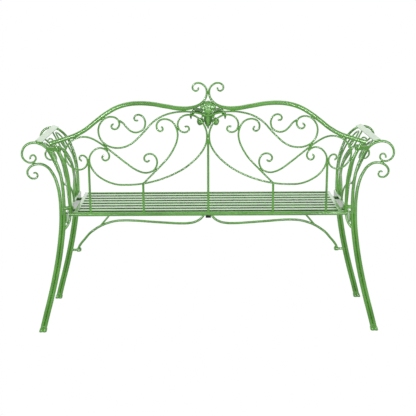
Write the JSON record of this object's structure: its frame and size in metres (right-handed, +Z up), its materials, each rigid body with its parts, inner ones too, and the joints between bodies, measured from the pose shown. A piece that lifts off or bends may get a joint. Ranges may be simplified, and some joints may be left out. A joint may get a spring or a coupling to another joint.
{
  "type": "garden bench",
  "caption": "Green painted wrought garden bench with scrolled back, rolled arms and slatted seat",
  "frame": {"origin": "middle of the bench's bounding box, on the ground", "axes": "+X runs along the bench towards the sitter's left, -Y is the side people sit on, +Z is up"},
  "size_m": [1.3388, 0.4943, 0.9224],
  "materials": {
    "green_paint": "satin",
    "fixings": "satin",
    "black_plastic": "matte"
  },
  "bodies": {
    "root": {"arch_scroll_left": "green_paint", "arch_scroll_right": "green_paint", "armrest_left": "green_paint", "armrest_right": "green_paint", "back_bar_centre": "green_paint", "back_bars_middle": "green_paint", "back_bars_outer": "green_paint", "back_foot_rail": "green_paint", "back_post_left": "green_paint", "back_post_right": "green_paint", "back_screws": "fixings", "back_spacers": "green_paint", "back_washers": "fixings", "brace_screws": "fixings", "brace_sleeves": "green_paint", "brace_struts": "green_paint", "foot_caps": "green_paint", "front_brace_left": "green_paint", "front_brace_right": "green_paint", "front_inner_leg_left": "green_paint", "front_inner_leg_right": "green_paint", "front_outer_leg_left": "green_paint", "front_outer_leg_right": "green_paint", "heart_scroll_left": "green_paint", "heart_scroll_right": "green_paint", "inner_scroll_left": "green_paint", "inner_scroll_right": "green_paint", "lower_stays": "green_paint", "outer_s_scroll_left": "green_paint", "outer_s_scroll_right": "green_paint", "rear_inner_leg_left": "green_paint", "rear_inner_leg_right": "green_paint", "rear_outer_leg_left": "green_paint", "rear_outer_leg_right": "green_paint", "rose_bloom": "green_paint", "rose_buds": "green_paint", "rose_leaves": "green_paint", "seat_front_rail": "green_paint", "seat_rear_rail": "green_paint", "seat_screws": "fixings", "seat_side_rail_left": "green_paint", "seat_side_rail_right": "green_paint", "seat_slats": "green_paint", "seat_spacers": "green_paint", "seat_support_tube": "green_paint", "side_beam_left": "green_paint", "side_beam_right": "green_paint", "side_lower_rails": "green_paint", "side_lyre_rods_left": "green_paint", "side_lyre_rods_right": "green_paint", "side_scroll_front_left": "green_paint", "side_scroll_front_right": "green_paint", "side_scroll_rear_left": "green_paint", "side_scroll_rear_right": "green_paint", "side_struts": "green_paint", "small_scroll_left": "green_paint", "small_scroll_right": "green_paint", "support_plugs": "black_plastic", "top_rail_left": "green_paint", "top_rail_right": "green_paint"}
  },
  "joints": []
}
